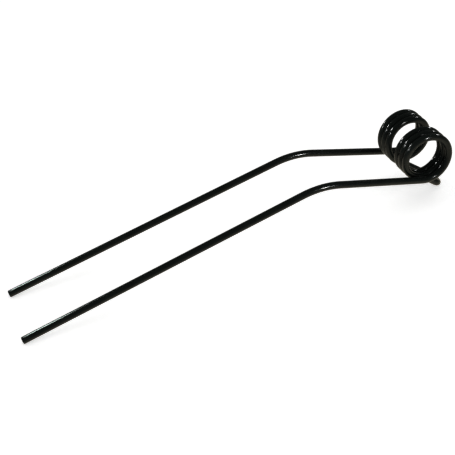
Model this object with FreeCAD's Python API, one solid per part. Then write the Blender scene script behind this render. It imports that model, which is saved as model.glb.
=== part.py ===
"""Double tine of a rotary rake: one piece of round spring-steel wire.

Two long legs sweep the crop. Each one runs back to a coil of nearly three turns, and the two
coils are joined by a narrow loop, which a bolt holds to the rake's arm. The wire is followed
from one tip to the middle of that loop, and the other half is its mirror image.

The row frame has its origin on the axis of the coils, midway between them. +Y runs along that
axis, the legs point towards -X, and +Z is up with the tine lying on its two tips and its loop.
"""
import FreeCAD, Part
import math
import os

Vector = FreeCAD.Vector

# Wire
wire_diameter = 9.0
tip_chamfer = 0.6

# Coils: the bore is the clear hole that the rake's arm passes through
coil_bore = 50.0
turn_gap = 0.8
whole_turns = 3

# Loop between the coils: its two limbs leave the coils short of the last whole turn
loop_angle = 23.0
loop_length = 53.0
loop_slot = 12.0

# Legs: one length runs from the coil to the corner of the bend, the other on to the tip
short_leg = 143.0
long_leg = 400.0
leg_bend = 28.0
bend_radius = 105.0
leg_splay = 0.75

# Easy curve between a coil's rising turns and the straight wire on either side of it
ease_radius = 120.0

wire_radius = wire_diameter / 2
coil_radius = coil_bore / 2 + wire_radius
turn_pitch = wire_diameter + turn_gap
turns = whole_turns - loop_angle / 360
rise = math.atan2(turn_pitch, 2 * math.pi * coil_radius)
ease_shift = ease_radius * (1 - math.cos(rise))
loop_radius = (loop_slot + wire_diameter) / 2
coil_start = loop_radius + ease_shift + turns * turn_pitch


def arc_between(start, direction, end_direction, radius):
    """Arc that leaves start along direction and turns into end_direction."""
    turn = direction.getAngle(end_direction)
    side = (end_direction - direction * direction.dot(end_direction)).normalize()
    centre = start + side * radius

    def at(angle):
        return centre - side * (radius * math.cos(angle)) + direction * (radius * math.sin(angle))

    return Part.Arc(start, at(turn / 2), at(turn)).toShape()


def line(start, direction, length):
    return Part.LineSegment(start, start + direction * length).toShape()


def end_of(edge):
    return edge.valueAt(edge.LastParameter)


def leg_directions():
    """Directions of travel from the tip to the bend, and from the bend to the coil."""
    splay = math.radians(leg_splay)
    bend = math.radians(leg_bend)
    inwards = Vector(math.cos(splay), -math.sin(splay), 0)
    upwards = Vector(0, 0, 1)
    return inwards * math.cos(bend) + upwards * math.sin(bend), inwards


def coil_edge():
    """Helix about the Y axis, from the bottom of the coil towards +X, up, and in to the loop."""
    helix = Part.makeHelix(turn_pitch, turns * turn_pitch, coil_radius)
    facing = FreeCAD.Rotation(Vector(0, 0, -1), Vector(1, 0, 0), Vector(0, -1, 0), "XYZ")
    helix.Placement = FreeCAD.Placement(Vector(0, coil_start, 0), facing)
    return helix.Edges[0]


def wire_path():
    """Centre line of half the tine, from the tip to the middle of the loop."""
    along_long, along_short = leg_directions()
    coil = coil_edge()
    coil_bottom = Vector(0, coil_start, -coil_radius)
    coil_heading = Vector(math.cos(rise), -math.sin(rise), 0)

    # The leg's ease curve is laid out backwards from the coil, so that it ends on it
    ease_back = arc_between(coil_bottom, -coil_heading, -along_short, ease_radius)
    ease_start = end_of(ease_back)
    half_bend = bend_radius * math.tan(math.radians(leg_bend) / 2)
    bend_corner = ease_start - along_short * short_leg
    tip = bend_corner - along_long * long_leg
    lower = line(tip, along_long, long_leg - half_bend)
    bend = arc_between(end_of(lower), along_long, along_short, bend_radius)
    upper = Part.LineSegment(end_of(bend), ease_start).toShape()
    ease_in = arc_between(ease_start, along_short, coil_heading, ease_radius)

    heading = math.radians(-loop_angle)
    along_loop = Vector(math.cos(heading), 0, math.sin(heading))
    across = Vector(0, -1, 0)
    leaving = along_loop * math.cos(rise) + across * math.sin(rise)
    ease_out = arc_between(end_of(coil), leaving, along_loop, ease_radius)
    limb = line(end_of(ease_out), along_loop, loop_length)
    loop_end = arc_between(end_of(limb), along_loop, across, loop_radius)
    return [lower, bend, upper, ease_in, coil, ease_out, limb, loop_end]


def swept_wire(edges):
    """Round wire along the centre line, with the tip's edge broken."""
    start = edges[0].valueAt(edges[0].FirstParameter)
    heading = edges[0].tangentAt(edges[0].FirstParameter)
    section = Part.Wire(Part.makeCircle(wire_radius, start, heading))
    solid = Part.Wire(edges).makePipeShell([section], True, False)
    rim = [e for e in solid.Edges if e.BoundBox.Center.distanceToPoint(start) < wire_radius / 10]
    return solid.makeChamfer(tip_chamfer, rim)


def rest_tilt(edges):
    """Angle about +Y that brings the loop's lowest side level with the tips' lower edge."""
    along_long, _ = leg_directions()
    bend = math.radians(leg_bend)
    tip = edges[0].valueAt(edges[0].FirstParameter)
    tip_low = Vector(tip.x + wire_radius * math.sin(bend), 0, tip.z - wire_radius * math.cos(bend))
    loop_far = end_of(edges[-1])
    span = loop_far - tip_low
    reach = math.hypot(span.x, span.z)
    return math.degrees(math.atan2(span.z, span.x) - math.asin(wire_radius / reach))


def tine():
    edges = wire_path()
    half = swept_wire(edges)
    other = half.mirror(Vector(0, 0, 0), Vector(0, 1, 0))
    whole = half.fuse(other).removeSplitter()
    whole.rotate(Vector(0, 0, 0), Vector(0, 1, 0), rest_tilt(edges))
    return whole.Solids[0]


os.makedirs("parts", exist_ok=True)
shape = tine()
shape.exportStep("parts/tine.step")
box = shape.optimalBoundingBox(True, False)
print("size mm", round(box.XLength, 1), round(box.YLength, 1), round(box.ZLength, 1))
print("legs apart at the coils", round(2 * coil_start, 1), "floor at z", round(box.ZMin, 2))
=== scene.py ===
# %% [markdown]
# # A double tine of a rotary rake
#
# A rotary rake moves hay with pairs of long sprung fingers. Each pair is one length of round
# spring steel, wound into two coils and dipped in gloss black paint. This lesson dresses the
# construction model of such a pair: one smooth skin of wire, a paint that has the small faults
# of real paint, a glowing pale floor, studio lamps with narrow beams and a camera.
#
# The construction model comes first, because everything here has to sit where it sits.

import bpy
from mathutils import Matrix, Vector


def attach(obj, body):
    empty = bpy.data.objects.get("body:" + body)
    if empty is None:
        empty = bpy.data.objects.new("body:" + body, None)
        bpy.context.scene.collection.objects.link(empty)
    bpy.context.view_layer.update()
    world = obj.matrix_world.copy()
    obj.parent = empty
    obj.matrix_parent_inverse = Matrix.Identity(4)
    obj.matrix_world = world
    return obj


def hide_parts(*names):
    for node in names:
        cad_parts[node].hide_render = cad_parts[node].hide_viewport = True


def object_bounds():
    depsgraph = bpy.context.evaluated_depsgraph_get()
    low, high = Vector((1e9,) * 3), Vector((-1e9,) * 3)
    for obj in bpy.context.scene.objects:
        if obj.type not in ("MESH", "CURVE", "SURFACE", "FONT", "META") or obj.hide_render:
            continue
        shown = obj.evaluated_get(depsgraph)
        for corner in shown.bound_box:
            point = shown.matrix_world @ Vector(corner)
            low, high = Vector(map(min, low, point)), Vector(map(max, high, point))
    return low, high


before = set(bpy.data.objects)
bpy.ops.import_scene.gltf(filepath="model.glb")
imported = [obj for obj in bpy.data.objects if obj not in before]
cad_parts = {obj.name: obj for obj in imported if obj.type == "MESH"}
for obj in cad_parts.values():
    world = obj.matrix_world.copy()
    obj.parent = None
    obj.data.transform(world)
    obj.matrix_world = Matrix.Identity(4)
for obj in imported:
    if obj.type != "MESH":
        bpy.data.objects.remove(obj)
cad_box = [list(corner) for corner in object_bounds()]
print("box of the solids in metres", cad_box)

# %% [markdown]
# ## Sizes of the wire
#
# Every size below is the construction model's own, in metres. The legs run from the tips to a
# soft bend and on to the coils; the coils end in the two limbs of a narrow loop, which a bolt
# holds to the rake's arm. Turns that almost touch rise by one wire's thickness and a small gap.

# %% Sizes
import math

import bpy
import numpy as np
from mathutils import Matrix, Vector

mm = 0.001
wire_radius = 4.5 * mm
coil_radius = 29.5 * mm
turn_pitch = 9.8 * mm
loop_angle = math.radians(23.0)
loop_length = 53.0 * mm
loop_radius = 10.5 * mm
short_leg = 143.0 * mm
long_leg = 400.0 * mm
leg_bend = math.radians(28.0)
bend_radius = 105.0 * mm
leg_splay = math.radians(0.75)
ease_radius = 120.0 * mm
whole_turns = 3

turns = whole_turns - loop_angle / (2 * math.pi)
rise = math.atan2(turn_pitch, 2 * math.pi * coil_radius)
coil_start = loop_radius + ease_radius * (1 - math.cos(rise)) + turns * turn_pitch
print("turns", round(turns, 3), "legs apart at the coils", round(2 * coil_start, 4))

# %% [markdown]
# ## Runs, bows and coils
#
# Bent wire is made of three things only: a straight run, a bow of even radius, and a coil. A
# curve object could hold them, but its handles only come near to a true circle. Here each one
# is a function of a share from 0 to 1, worked out for the whole array at once, and gives the
# points of the centre line together with the direction of travel at each of them.

# %% Three kinds of centre line
def unit(vectors):
    """Vectors divided by their own length."""
    return vectors / np.linalg.norm(vectors, axis=-1, keepdims=True)


def run(start, along, length, count):
    """Straight run: start plus share times length times the direction."""
    share = np.linspace(0, 1, count)[:, None]
    return start + share * length * along, np.repeat(along[None], count, axis=0)


def bow(start, along, towards, radius, count):
    """Even bow that turns from one direction into another.

    With the angle running from nothing to the whole turn, a point is the centre, minus the
    inward side times radius times cosine, plus the direction times radius times sine.
    """
    angle = np.linspace(0, math.acos(np.clip(along @ towards, -1, 1)), count)[:, None]
    inward = unit(towards - along * (along @ towards))
    points = start + inward * radius * (1 - np.cos(angle)) + along * radius * np.sin(angle)
    return points, along * np.cos(angle) + inward * np.sin(angle)


def coil(count):
    """Coil about the Y axis from its bottom towards +X, up, and in towards the loop.

    x is radius times sine, z is minus radius times cosine, and y falls by one pitch a turn.
    """
    angle = np.linspace(0, 2 * math.pi * turns, count)
    y = coil_start - turn_pitch * angle / (2 * math.pi)
    points = np.stack([coil_radius * np.sin(angle), y, -coil_radius * np.cos(angle)], axis=1)
    fall = np.full(count, -math.tan(rise))
    return points, unit(np.stack([np.cos(angle), fall, np.sin(angle)], axis=1))


print("rise of the coils in degrees", round(math.degrees(rise), 2))

# %% [markdown]
# ## The centre line of half the wire
#
# The runs and bows are joined end to end, each starting where the last one stopped and in the
# direction that it had. The leg is laid out backwards from the coil, so it is worked out first
# and then turned round. Doing one half only is enough, since the other half mirrors it.

# %% Half the wire, from a tip to the middle of the loop
along_short = np.array([math.cos(leg_splay), -math.sin(leg_splay), 0.0])
along_long = along_short * math.cos(leg_bend) + np.array([0.0, 0.0, math.sin(leg_bend)])
coil_bottom = np.array([0.0, coil_start, -coil_radius])
coil_heading = np.array([math.cos(rise), -math.sin(rise), 0.0])
along_loop = np.array([math.cos(loop_angle), 0.0, -math.sin(loop_angle)])
across = np.array([0.0, -1.0, 0.0])
leaving = along_loop * math.cos(rise) + across * math.sin(rise)
half_bend = bend_radius * math.tan(leg_bend / 2)

# Points on each stretch: the tighter it turns, the closer they stand
long_count, bend_count, short_count = 64, 24, 24
ease_count, coil_count, limb_count, loop_count = 5, 290, 12, 16


def turned_round(points, headings):
    """The same stretch of wire, travelled the other way."""
    return points[::-1], -headings[::-1]


def half_wire():
    """Points and headings of half the wire, without doubling the point at each joint."""
    ease_back = bow(coil_bottom, -coil_heading, -along_short, ease_radius, ease_count)
    ease_in = turned_round(*ease_back)
    ease_start = ease_in[0][0]
    corner = ease_start - along_short * short_leg
    tip = corner - along_long * long_leg
    lower = run(tip, along_long, long_leg - half_bend, long_count)
    bend = bow(lower[0][-1], along_long, along_short, bend_radius, bend_count)
    upper = run(bend[0][-1], along_short, short_leg - half_bend, short_count)
    turning = coil(coil_count)
    ease_out = bow(turning[0][-1], leaving, along_loop, ease_radius, ease_count)
    limb = run(ease_out[0][-1], along_loop, loop_length, limb_count)
    loop_end = bow(limb[0][-1], along_loop, across, loop_radius, loop_count)
    stretches = [lower, bend, upper, ease_in, turning, ease_out, limb, loop_end]
    points = np.concatenate([stretches[0][0]] + [s[0][1:] for s in stretches[1:]])
    headings = np.concatenate([stretches[0][1]] + [s[1][1:] for s in stretches[1:]])
    return points, headings


half_points, half_headings = half_wire()
print("points on half the wire", len(half_points))

# %% [markdown]
# ## Laying the tine down
#
# A tine on a bench rests on its two tips and on the end of its loop. One turn about the Y axis
# brings those to the same height: the slope of the line between them, less the small angle that
# makes up for the loop end being rounder than the tip.

# %% The whole wire, lying at rest
tip_low = half_points[0] + wire_radius * np.array([math.sin(leg_bend), 0, -math.cos(leg_bend)])
span = (half_points[-1] - tip_low)[[0, 2]]
tilt = math.atan2(span[1], span[0]) - math.asin(wire_radius / np.linalg.norm(span))
lay_down = np.array(
    [[math.cos(tilt), 0, math.sin(tilt)], [0, 1, 0], [-math.sin(tilt), 0, math.cos(tilt)]]
)
mirror = np.array([1, -1, 1])
points = np.concatenate([half_points, half_points[::-1][1:] * mirror]) @ lay_down.T
headings = np.concatenate([half_headings, -half_headings[::-1][1:] * mirror]) @ lay_down.T
steps = np.linalg.norm(np.diff(points, axis=0), axis=1)
travelled = np.concatenate([[0], np.cumsum(steps)])
print("tilt in degrees", round(math.degrees(tilt), 2), "wire length", round(travelled[-1], 4))

# %% [markdown]
# ## A skin round the centre line
#
# Spring wire is cut to length with a shear and its rim is broken, so the skin is a profile
# carried along the path: full radius everywhere, and at each tip a small rounding that runs in
# to a flat face. Extra rings close to the rim hold the flat face flat when it is shaded smooth.
# The rings need a side direction that never jumps. The cross product of the heading and the Y
# axis gives one everywhere but in the loop's end, which keeps the direction of its limbs.

# %% Rings of the skin
ring_count = 48
tip_round = 0.55 * mm
rounding_count = 7
face_rings = np.array([0.45, 0.9, 0.985])  # shares of the flat face's radius


def side_directions():
    """Heading cross Y for each point, and in the loop's end that of the limb before it."""
    flat = half_headings.copy()
    flat[1 - loop_count :] = along_loop
    sides = unit(np.cross(flat, [0.0, 1.0, 0.0]))
    return np.concatenate([sides, sides[::-1][1:]]) @ lay_down.T


def tip_profile():
    """Distance from the end and radius there, from the middle of the face out to full radius.

    The rounding is a quarter circle: radius is full radius less the rounding, plus the rounding
    times sine, while the distance in from the face is the rounding times one minus cosine.
    """
    angle = np.linspace(0, math.pi / 2, rounding_count)
    flat_radius = (wire_radius - tip_round) * face_rings
    radius = np.concatenate([flat_radius, wire_radius - tip_round * (1 - np.sin(angle))])
    depth = np.concatenate([np.zeros(len(face_rings)), tip_round * (1 - np.cos(angle))])
    return depth, radius


sides = side_directions()
depth, tip_radius = tip_profile()
ring_points = np.concatenate(
    [
        points[0] + depth[:, None] * headings[0],
        points[1:-1],
        points[-1] - depth[::-1, None] * headings[-1],
    ]
)
ends = len(depth)
# For each ring, the number of the centre-line point whose directions it takes
station = np.concatenate([np.zeros(ends, int), np.arange(1, len(points) - 1), np.full(ends, -1)])
ring_radius = np.concatenate([tip_radius, np.full(len(points) - 2, wire_radius), tip_radius[::-1]])
ring_along = np.concatenate([depth, travelled[1:-1], travelled[-1] - depth[::-1]])
print("rings", len(ring_points), "of", ring_count, "points")

# %% [markdown]
# ## From rings to a mesh
#
# A ring's point is its centre, plus radius times cosine along the side, plus radius times sine
# along the heading crossed with the side. Neighbouring rings are joined by four-cornered faces,
# and one point closes the middle of each tip's face. The enclosed volume comes out positive
# only if every face looks outwards, so it is printed.

# %% Mesh of the wire
def skin_vertices():
    """All ring points as one array, then the middle points of the two tip faces."""
    angle = np.linspace(0, 2 * math.pi, ring_count, endpoint=False)
    side = sides[station][:, None, :]
    other = np.cross(headings[station], sides[station])[:, None, :]
    turn = np.cos(angle)[None, :, None] * side + np.sin(angle)[None, :, None] * other
    rings = ring_points[:, None, :] + ring_radius[:, None, None] * turn
    return np.concatenate([rings.reshape(-1, 3), points[[0, -1]]])


def skin_faces():
    """Corner numbers of the faces between rings, and of the fans that close both tips."""
    ring = np.arange(len(ring_points) - 1)[:, None] * ring_count
    here = np.arange(ring_count)[None, :]
    after = (here + 1) % ring_count
    next_ring = ring + ring_count
    between = np.stack([ring + here, ring + after, next_ring + after, next_ring + here], -1)
    last = (len(ring_points) - 1) * ring_count
    first_pole = len(ring_points) * ring_count
    near_fan = np.stack([here[0] * 0 + first_pole, after[0], here[0]], -1)
    far_fan = np.stack([here[0] * 0 + first_pole + 1, last + here[0], last + after[0]], -1)
    return between.reshape(-1, 4), np.concatenate([near_fan, far_fan])


def volume(vertices, quads, fans):
    """A sixth of the sum, over all triangles, of corner one dot corner two cross corner three."""
    triangles = vertices[np.concatenate([quads[:, [0, 1, 2]], quads[:, [0, 2, 3]], fans])]
    crossed = np.cross(triangles[:, 1], triangles[:, 2])
    return np.einsum("ij,ij->", triangles[:, 0], crossed) / 6


vertices = skin_vertices()
quads, fans = skin_faces()
wire_mesh = bpy.data.meshes.new("tine_wire")
wire_mesh.from_pydata(vertices.tolist(), [], quads.tolist() + fans.tolist())
wire_mesh.polygons.foreach_set("use_smooth", np.ones(len(wire_mesh.polygons), bool))
print("faces", len(wire_mesh.polygons), "volume in cubic cm", volume(vertices, quads, fans) * 1e6)

# %% [markdown]
# ## A map that follows the wire
#
# Drawn wire carries fine lines along its length. A pattern can follow them only if the mesh has
# a map that does, so each face corner gets its distance round the wire and its distance along
# it, both in metres. The seam is where the distance round starts again.

# %% Map along and round the wire
def wire_map():
    """For each face corner, distance round the wire and along it, in metres."""
    rows = np.arange(len(ring_points) - 1)[:, None]
    cols = np.arange(ring_count)[None, :]
    around = np.stack([cols, cols + 1, cols + 1, cols], -1) + 0 * rows[..., None]
    along = ring_along[np.stack([rows, rows, rows + 1, rows + 1], -1)] + 0 * cols[..., None]
    girth = 2 * math.pi * wire_radius / ring_count
    body = np.stack([around * girth, along], -1).reshape(-1, 2)
    fan_around = np.stack([cols[0] + 0.5, cols[0] + 1, cols[0]], -1) * girth
    near = np.stack([fan_around, np.zeros_like(fan_around)], -1).reshape(-1, 2)
    far_around = np.stack([cols[0] + 0.5, cols[0], cols[0] + 1], -1) * girth
    far = np.stack([far_around, np.full_like(far_around, travelled[-1])], -1).reshape(-1, 2)
    return np.concatenate([body, near, far])


uv_layer = wire_mesh.uv_layers.new(name="along_the_wire")
uv_layer.data.foreach_set("uv", wire_map().astype(np.float32).ravel())
wire_mesh.validate()
tine_wire = bpy.data.objects.new("tine_wire", wire_mesh)
bpy.context.scene.collection.objects.link(tine_wire)
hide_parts("tine")
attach(tine_wire, "root")
print("mapped corners", len(uv_layer.data))

# %% [markdown]
# ## Node helpers
#
# Materials are built from nodes. Two short helpers keep the recipes readable: one adds a node,
# or a whole node group, and fills its inputs, the other starts a node group and declares its
# sockets. An input given as a number is a setting, and one given as another node's output is a
# link. The mix node has sockets of the same name for each kind of value, so they go by number.

# %% Helpers for materials
mix_factor, mix_value_a, mix_value_b, mix_value_out = 0, 2, 3, 0
mix_colour_a, mix_colour_b, mix_colour_out = 6, 7, 2


def add_node(tree, kind, inputs=None, **settings):
    """Adds a node, sets its properties, and fills or links its inputs."""
    node = tree.nodes.new(kind)
    for name, value in settings.items():
        setattr(node, name, value)
    for name, value in (inputs or {}).items():
        if isinstance(value, bpy.types.NodeSocket):
            tree.links.new(value, node.inputs[name])
        else:
            node.inputs[name].default_value = value
    return node


def new_group(name, inputs, outputs):
    """An empty node group with named inputs, each with a start value, and named outputs."""
    tree = bpy.data.node_groups.new(name, "ShaderNodeTree")
    for title, (kind, value) in inputs.items():
        socket = tree.interface.new_socket(title, in_out="INPUT", socket_type=kind)
        if value is not None:
            socket.default_value = value
    for title, kind in outputs.items():
        tree.interface.new_socket(title, in_out="OUTPUT", socket_type=kind)
    return tree, tree.nodes.new("NodeGroupInput"), tree.nodes.new("NodeGroupOutput")


print("helpers ready")

# %% [markdown]
# ## Mottle: broad clouds with a fine grain in them
#
# No surface has one even tone. Paint and floor both vary in broad clouds with a finer grain on
# top. One node group makes that mask, and each material places it with its own scales.

# %% Node group for mottle
mottle, source, sink = new_group(
    "mottle",
    {
        "Vector": ("NodeSocketVector", None),
        "Broad": ("NodeSocketFloat", 30.0),
        "Fine": ("NodeSocketFloat", 600.0),
        "Fine Share": ("NodeSocketFloat", 0.3),
    },
    {"Mask": "NodeSocketFloat"},
)
broad = add_node(
    mottle, "ShaderNodeTexNoise",
    {"Vector": source.outputs["Vector"], "Scale": source.outputs["Broad"], "Detail": 3.0},
)
fine = add_node(
    mottle, "ShaderNodeTexNoise",
    {"Vector": source.outputs["Vector"], "Scale": source.outputs["Fine"], "Detail": 2.0},
)
blend = add_node(
    mottle, "ShaderNodeMix",
    {
        mix_factor: source.outputs["Fine Share"],
        mix_value_a: broad.outputs["Fac"],
        mix_value_b: fine.outputs["Fac"],
    },
)
mottle.links.new(blend.outputs[mix_value_out], sink.inputs["Mask"])
print("mottle nodes", len(mottle.nodes))

# %% [markdown]
# ## Gloss black paint
#
# The paint is a thick, wet-looking black with a trace of green. Under a lamp its gloss shows
# what a dipped coat always has: orange peel, a gentle waviness a few millimetres wide, and the
# faint lines of the drawn wire below it. Both go into bump. The tone and the roughness vary a
# little with the mottle, so that no stretch of wire shines quite like the next one.

# %% Material of the tine
deep_black, soft_black = (0.0084, 0.011, 0.0097, 1), (0.0198, 0.0252, 0.022, 1)
drawn_share = 0.18  # how much of the relief is drawing lines, beside the orange peel

paint = bpy.data.materials.new("black_paint")
paint.use_nodes = True
nodes, links = paint.node_tree.nodes, paint.node_tree.links
shader = nodes["Principled BSDF"]
place = nodes.new("ShaderNodeTexCoord")

clouds = add_node(
    paint.node_tree, "ShaderNodeGroup",
    {"Vector": place.outputs["Object"], "Broad": 45.0, "Fine": 900.0, "Fine Share": 0.25},
    node_tree=mottle,
)
tone = add_node(paint.node_tree, "ShaderNodeValToRGB", {"Fac": clouds.outputs["Mask"]})
dark_stop, light_stop = tone.color_ramp.elements
dark_stop.position, dark_stop.color = 0.3, deep_black
light_stop.position, light_stop.color = 0.72, soft_black
links.new(tone.outputs["Color"], shader.inputs["Base Color"])

gloss = add_node(
    paint.node_tree, "ShaderNodeMapRange",
    {
        "Value": clouds.outputs["Mask"],
        "From Min": 0.3, "From Max": 0.7,
        "To Min": 0.13, "To Max": 0.18,
    },
)
links.new(gloss.outputs["Result"], shader.inputs["Roughness"])

peel = add_node(
    paint.node_tree, "ShaderNodeTexNoise",
    {"Vector": place.outputs["Object"], "Scale": 320.0, "Detail": 1.5},
)
stretch = add_node(
    paint.node_tree, "ShaderNodeMapping",
    {"Vector": place.outputs["UV"], "Scale": (1.0, 0.012, 1.0)},
)
drawn = add_node(
    paint.node_tree, "ShaderNodeTexNoise",
    {"Vector": stretch.outputs["Vector"], "Scale": 2600.0, "Detail": 2.0},
)
relief = add_node(
    paint.node_tree, "ShaderNodeMath",
    {0: drawn.outputs["Fac"], 1: drawn_share, 2: peel.outputs["Fac"]},
    operation="MULTIPLY_ADD",
)
bump = add_node(
    paint.node_tree, "ShaderNodeBump",
    {"Height": relief.outputs["Value"], "Strength": 0.016, "Distance": 0.00012},
)
links.new(bump.outputs["Normal"], shader.inputs["Normal"])
shader.inputs["Specular IOR Level"].default_value = 0.5
wire_mesh.materials.append(paint)
print("paint nodes", len(nodes))

# %% [markdown]
# ## A pale floor
#
# The photograph has no horizon and no shadow. A studio gets that from a light table: a sheet of
# white card that is lit from below as well as from above, and rises out of sight at the back. A
# flat plane would show its edge from low down, so the floor is a grid that stays flat near the
# tine and curves up further out. It is kept out of reflections, because a bright floor would
# draw a wide pale stripe along the whole of a glossy wire.

# %% Floor
floor_level = cad_box[0][2]
floor_reach, flat_reach, floor_lift = 6.0, 2.5, 0.18
floor_count = 81


def floor_grid():
    """Square grid under the tine, flat near it and rising far out.

    Height over the floor is the lift times the square of the distance past the flat part.
    """
    across_floor = np.linspace(-floor_reach, floor_reach, floor_count)
    x, y = np.meshgrid(across_floor, across_floor, indexing="ij")
    beyond = np.clip(np.hypot(x, y) - flat_reach, 0, None)
    z = floor_level + floor_lift * beyond**2
    return np.stack([x, y, z], -1).reshape(-1, 3)


first = (np.arange(floor_count - 1)[:, None] * floor_count + np.arange(floor_count - 1)).ravel()
floor_faces = np.stack([first, first + floor_count, first + floor_count + 1, first + 1], -1)
floor_mesh = bpy.data.meshes.new("floor_card")
floor_mesh.from_pydata(floor_grid().tolist(), [], floor_faces.tolist())
floor_mesh.polygons.foreach_set("use_smooth", np.ones(len(floor_mesh.polygons), bool))
floor_card = bpy.data.objects.new("floor_card", floor_mesh)
bpy.context.scene.collection.objects.link(floor_card)
floor_card.visible_glossy = False
print("floor at", round(floor_level, 4))

# %% [markdown]
# ## White card
#
# Card is matt and almost white, with faint clouds in it. The light from below could be a second
# lamp under a see-through sheet, but a card that glows a little by itself does the same with
# less noise. The glow fills the shadows until they are only just there, and it is kept low
# enough that white is reached and not passed.

# %% Material of the floor
card = bpy.data.materials.new("white_card")
card.use_nodes = True
card_shader = card.node_tree.nodes["Principled BSDF"]
card_place = card.node_tree.nodes.new("ShaderNodeTexCoord")
card_clouds = add_node(
    card.node_tree, "ShaderNodeGroup",
    {"Vector": card_place.outputs["Object"], "Broad": 1.5, "Fine": 220.0, "Fine Share": 0.2},
    node_tree=mottle,
)
card_tone = add_node(card.node_tree, "ShaderNodeValToRGB", {"Fac": card_clouds.outputs["Mask"]})
grey_stop, white_stop = card_tone.color_ramp.elements
grey_stop.color, white_stop.color = (0.86, 0.86, 0.855, 1), (0.93, 0.93, 0.93, 1)
card.node_tree.links.new(card_tone.outputs["Color"], card_shader.inputs["Base Color"])
card_shader.inputs["Roughness"].default_value = 0.9
card_shader.inputs["Specular IOR Level"].default_value = 0.0
card_shader.inputs["Emission Color"].default_value = (1, 1, 1, 1)
card_shader.inputs["Emission Strength"].default_value = 0.64
floor_mesh.materials.append(card)
print("card nodes", len(card.node_tree.nodes))

# %% [markdown]
# ## Hanging a lamp
#
# A lamp is placed as a photographer would say it: so far round, so high up, so far away, and
# facing what it lights. The direction back from the aim becomes the lamp's own Z axis, since a
# lamp in Blender shines along minus Z. A long lamp also has a turn, which lays its long side.

# %% Placing a lamp
def hang(name, data, direction, distance, aim, turn=0.0):
    """Hangs a lamp at a direction (azimuth, elevation) and distance from its aim, facing it.

    Azimuth 0 is in front of the tine, at -Y, and grows towards +X. The long side is the level
    side times the turn's cosine, plus the upright side times its sine.
    """
    azimuth, elevation = np.radians(direction)
    flat = math.cos(elevation)
    away = Vector((math.sin(azimuth) * flat, -math.cos(azimuth) * flat, math.sin(elevation)))
    level = Vector((0, 0, 1)).cross(away).normalized()
    turn = math.radians(turn)
    long_side = level * math.cos(turn) + away.cross(level) * math.sin(turn)
    light = bpy.data.objects.new(name, data)
    light.location = Vector(aim) + distance * away
    light.rotation_euler = Matrix((long_side, away.cross(long_side), away)).transposed().to_euler()
    bpy.context.scene.collection.objects.link(light)
    return light


print("hang ready")

# %% [markdown]
# ## Studio lamps
#
# One broad soft lamp overhead lights the card evenly. It is kept out of reflections, or every
# wire would carry a wide grey stripe.
#
# The crisp white dots on the coils are small lamps mirrored in the paint. A round wire mirrors
# a lamp only where it faces half way between the lamp and the camera, so the places of the dots
# tell where the lamps stood: two at the left, one at the right and two in front, for the coils
# and for the bends. One more, faintly green, draws the pale streak along the tips. A wire
# squeezes a reflection to a hair's breadth across, so each lamp is a long oval panel, laid so
# that its long side comes out across the wire. A grid in front narrows the beam to one part of
# the tine, and these lamps are seen in the gloss only, so that they throw no hard shadow.

# %% Lamps
def gridded_lamp(name, direction, distance, size, turn, power, beam, aim=(0, 0, 0)):
    """Long oval panel behind a grid, mirrored only by what lies in its beam."""
    data = bpy.data.lights.new(name, "AREA")
    data.shape, data.energy, data.spread = "ELLIPSE", power, math.radians(beam)
    data.size, data.size_y = size
    light = hang(name, data, direction, distance, aim, turn)
    light.visible_diffuse = False
    return light


middle = (-0.25, 0, floor_level)
bends, tips = (-0.12, 0, 0.018), (-0.518, 0, floor_level + 0.01)
far_panel, pale_green = (0.5, 0.15), (0.86, 1.0, 0.94)

# One degree short of upright, since a lamp straight overhead has no level side to turn from
panel = bpy.data.lights.new("overhead_soft", "AREA")
panel.shape, panel.size, panel.energy = "DISK", 2.6, 8
overhead = hang("overhead_soft", panel, direction=(0, 89), distance=2.6, aim=middle)
overhead.visible_glossy = False

# Direction, distance, size, turn, power in watts and width of the beam in degrees
gridded_lamp("left_lamp", (-100.5, 27.2), 1.6, far_panel, 6, 0.225, 28)
gridded_lamp("left_back_lamp", (-151.5, 20.8), 1.6, far_panel, 39, 0.27, 28)
gridded_lamp("right_lamp", (107.4, 28.6), 1.6, far_panel, -20, 0.155, 28)
gridded_lamp("front_lamp", (17, 20), 1.0, (0.3, 0.1), -86, 0.042, 24)
gridded_lamp("bends_lamp", (23.7, 18.2), 1.03, (0.25, 0.06), -101, 0.044, 16, aim=bends)
tips_lamp = gridded_lamp("tips_lamp", (-156.5, 45.5), 1.2, (0.45, 0.15), 65, 0.25, 34, aim=tips)
tips_lamp.data.color = pale_green
print("lamps", [light.name for light in bpy.data.lights])

# %% [markdown]
# ## What the gloss mirrors
#
# Between the lamps, gloss paint mirrors the room: pale card below and an unlit studio above. A
# round wire that runs from one to the other gets its round look from that alone, a faint warm
# light along its lower side and a deep green-black above it. A photographed room could be
# wrapped round the scene, but two colours blended by height say the same in a few nodes. Light
# Path tells mirrored rays from all the others, which get an even grey.

# %% Surroundings
warm_below, dark_above = (0.82, 0.75, 0.6, 1), (0.125, 0.145, 0.135, 1)
even_grey = (0.25, 0.25, 0.25, 1)

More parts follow.
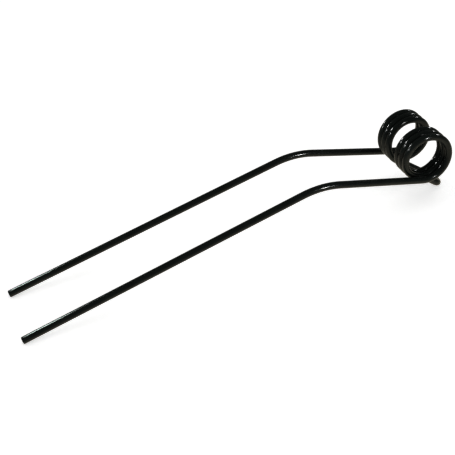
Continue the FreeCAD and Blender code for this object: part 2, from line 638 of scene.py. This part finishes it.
world = bpy.data.worlds.new("studio")
bpy.context.scene.world = world
world.use_nodes = True
sky = world.node_tree
direction = add_node(sky, "ShaderNodeTexCoord").outputs["Generated"]
height = add_node(sky, "ShaderNodeSeparateXYZ", {"Vector": direction}).outputs["Z"]
share_up = add_node(
    sky, "ShaderNodeMapRange",
    {"Value": height, "From Min": -0.6, "From Max": 0.15},
    interpolation_type="SMOOTHSTEP",
).outputs["Result"]
in_gloss = add_node(
    sky, "ShaderNodeMix",
    {mix_factor: share_up, mix_colour_a: warm_below, mix_colour_b: dark_above},
    data_type="RGBA",
).outputs[mix_colour_out]
gloss_ray = add_node(sky, "ShaderNodeLightPath").outputs["Is Glossy Ray"]
surroundings = add_node(
    sky, "ShaderNodeMix",
    {mix_factor: gloss_ray, mix_colour_a: even_grey, mix_colour_b: in_gloss},
    data_type="RGBA",
).outputs[mix_colour_out]
sky.links.new(surroundings, sky.nodes["Background"].inputs["Color"])
print("world nodes", len(sky.nodes))

# %% [markdown]
# ## A little contrast
#
# A picture of thin black wire on white card is mostly edges. Along an edge the light of wire
# and card is mixed before it is turned into tones, which favours the card, so that the wire
# looks thinner than it is. A gentle curve over the whole picture puts that right: the new light
# is the old light, times 0.35 plus 0.65 times the old light. Black stays black and white white.

# %% Tones of the picture
steady_share, growing_share = 0.35, 0.65

view = bpy.context.scene.view_settings
view.view_transform = "Standard"
view.use_curve_mapping = True
_, _, _, all_colours = view.curve_mapping.curves  # red, green, blue, then all of them at once
for light_in in (0.05, 0.2, 0.4, 0.6, 0.8):
    all_colours.points.new(light_in, light_in * (steady_share + growing_share * light_in))
view.curve_mapping.update()
print("points of the curve", len(all_colours.points))

# %% [markdown]
# ## The camera
#
# The photograph was taken from the side of the legs and above, with a long lens held a little
# crooked. The camera's three own directions are worked out from azimuth, elevation and roll,
# and it stands back from a point in the middle of the picture.

# %% Camera
camera_azimuth, camera_elevation, camera_roll = np.radians([-16.078, 36.995, -7.912])
camera_target = np.array([-0.25506, 0.02807, -0.05796])
camera_distance = 1.17136
picture_width, focal_pixels, sensor_width = 455, 905.12, 36

backwards = np.array(
    [
        math.sin(camera_azimuth) * math.cos(camera_elevation),
        -math.cos(camera_azimuth) * math.cos(camera_elevation),
        math.sin(camera_elevation),
    ]
)
level_right = np.array([math.cos(camera_azimuth), math.sin(camera_azimuth), 0.0])
level_up = np.cross(backwards, level_right)
right = level_right * math.cos(camera_roll) + level_up * math.sin(camera_roll)
up = np.cross(backwards, right)

camera_data = bpy.data.cameras.new("camera")
camera_data.sensor_width = sensor_width
camera_data.lens = focal_pixels / picture_width * sensor_width
camera = bpy.data.objects.new("camera", camera_data)
camera_place = np.eye(4)
camera_place[:3, :3] = np.stack([right, up, backwards], axis=1)
camera_place[:3, 3] = camera_target + camera_distance * backwards
camera.matrix_world = Matrix(camera_place.tolist())
bpy.context.scene.collection.objects.link(camera)
bpy.context.scene.camera = camera
print("lens", round(camera_data.lens, 2))
